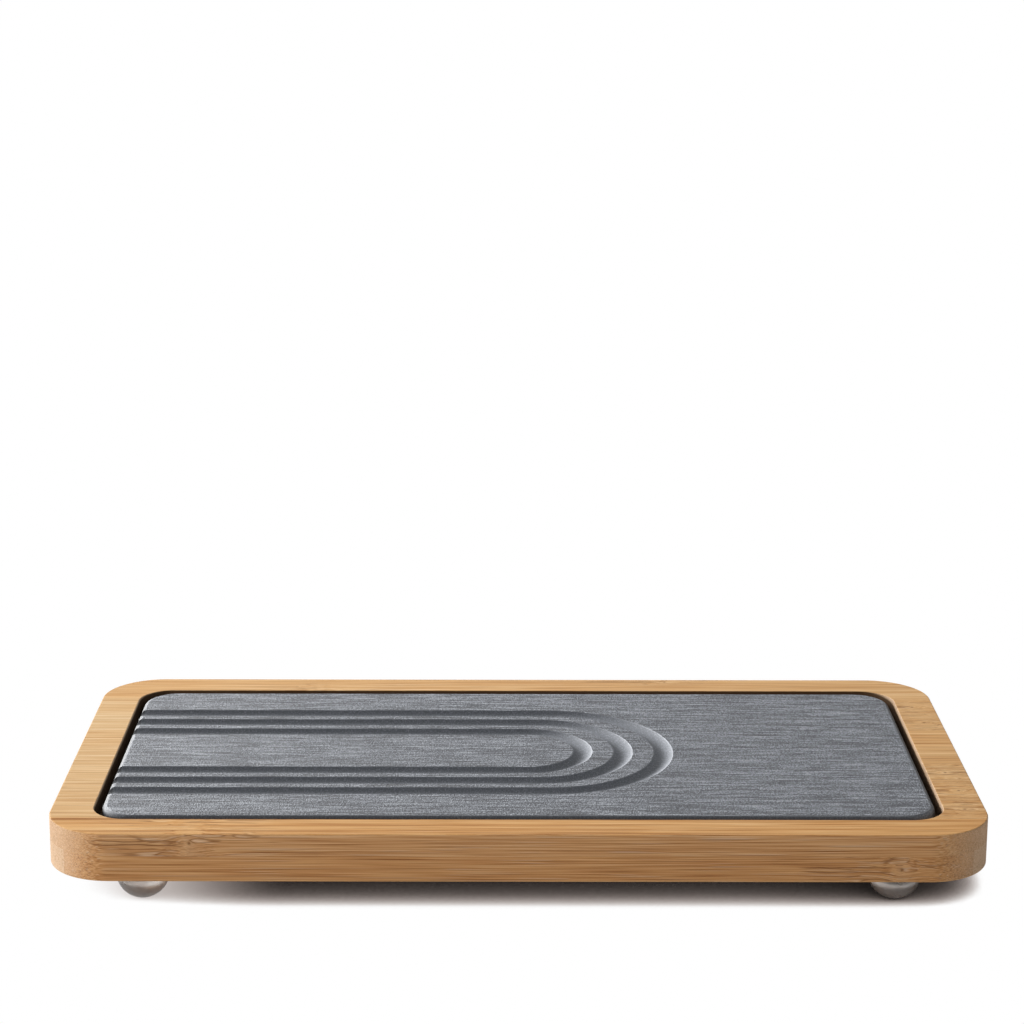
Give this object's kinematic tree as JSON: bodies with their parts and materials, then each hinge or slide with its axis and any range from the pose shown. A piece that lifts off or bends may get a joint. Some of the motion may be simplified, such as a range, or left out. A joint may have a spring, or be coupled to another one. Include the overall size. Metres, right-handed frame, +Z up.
{
  "type": "vanity tray",
  "caption": "Flat rectangular bamboo tray with round corners, a shallow pocket that holds a lift-out stone drying plate with nested U-shaped drain grooves, and clear dome feet.",
  "frame": {"origin": "on the table that the feet stand on, under the middle of the tray", "axes": "+X along the tray's length, away from the edge where the grooves run out; +Y to the rear; +Z up"},
  "size_m": [0.285, 0.15, 0.023],
  "materials": {
    "bamboo": "sanded and oiled, satin",
    "stone": "finely brushed, matte",
    "clear_rubber": "clear, glossy",
    "adhesive_tape": "satin"
  },
  "bodies": {
    "tray": {"upper_strip_1": "bamboo", "upper_strip_2_left": "bamboo", "upper_strip_2_right": "bamboo", "upper_strip_3_left": "bamboo", "upper_strip_3_right": "bamboo", "upper_strip_4_left": "bamboo", "upper_strip_4_right": "bamboo", "upper_strip_5_left": "bamboo", "upper_strip_5_right": "bamboo", "upper_strip_6_left": "bamboo", "upper_strip_6_right": "bamboo", "upper_strip_7_left": "bamboo", "upper_strip_7_right": "bamboo", "upper_strip_8_left": "bamboo", "upper_strip_8_right": "bamboo", "upper_strip_9": "bamboo", "upper_strip_10": "bamboo", "lower_strip_1": "bamboo", "lower_strip_2": "bamboo", "lower_strip_3": "bamboo", "lower_strip_4": "bamboo", "lower_strip_5": "bamboo", "lower_strip_6": "bamboo", "lower_strip_7": "bamboo", "lower_strip_8": "bamboo", "lower_strip_9": "bamboo", "lower_strip_10": "bamboo", "foot_front_left": "clear_rubber", "foot_front_right": "clear_rubber", "foot_rear_left": "clear_rubber", "foot_rear_right": "clear_rubber", "foot_tape_front_left": "adhesive_tape", "foot_tape_front_right": "adhesive_tape", "foot_tape_rear_left": "adhesive_tape", "foot_tape_rear_right": "adhesive_tape"},
    "plate": {"stone_plate": "stone"}
  },
  "joints": [
    {"name": "plate_lift", "type": "slide", "parent": "tray", "child": "plate", "axis": [0, 0, 1], "range_m": [0, 0.05]}
  ]
}
